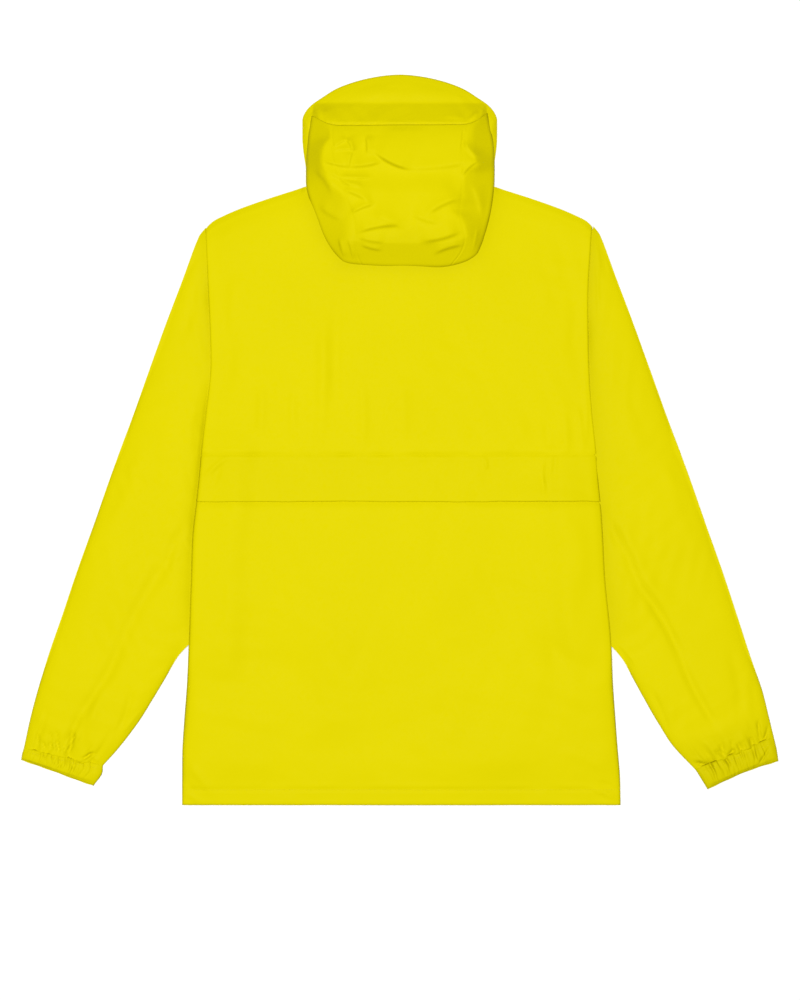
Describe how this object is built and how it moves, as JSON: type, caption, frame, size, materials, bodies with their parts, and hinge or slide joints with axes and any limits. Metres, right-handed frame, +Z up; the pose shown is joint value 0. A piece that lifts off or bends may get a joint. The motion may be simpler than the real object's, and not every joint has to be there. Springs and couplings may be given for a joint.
{
  "type": "anorak pullover laid flat",
  "caption": "Hooded woven nylon pullover anorak laid flat, back up: hood folded down, storm flap across the back, sleeves at the sides with gathered cuffs.",
  "frame": {"origin": "on the surface it lies on, under the middle of the garment", "axes": "+Z up from the surface, the garment's back faces +Z; +Y from hem to hood; +X to the wearer's right"},
  "size_m": [0.9108, 0.8779, 0.0208],
  "materials": {
    "shell_nylon": "thin plain-weave nylon, lemon yellow, slightly crinkled, low sheen",
    "cuff_casing": "the same nylon, gathered by an elastic in a casing"
  },
  "bodies": {
    "root": {"front_body": "shell_nylon", "back_upper": "shell_nylon", "back_lower": "shell_nylon", "back_flap": "shell_nylon", "sleeve_left": "shell_nylon", "sleeve_right": "shell_nylon", "cuff_left": "cuff_casing", "cuff_right": "cuff_casing", "hood_throat": "shell_nylon", "hood_crown": "shell_nylon", "hood_side_left": "shell_nylon", "hood_side_right": "shell_nylon", "hood_folds": "shell_nylon"}
  },
  "joints": []
}
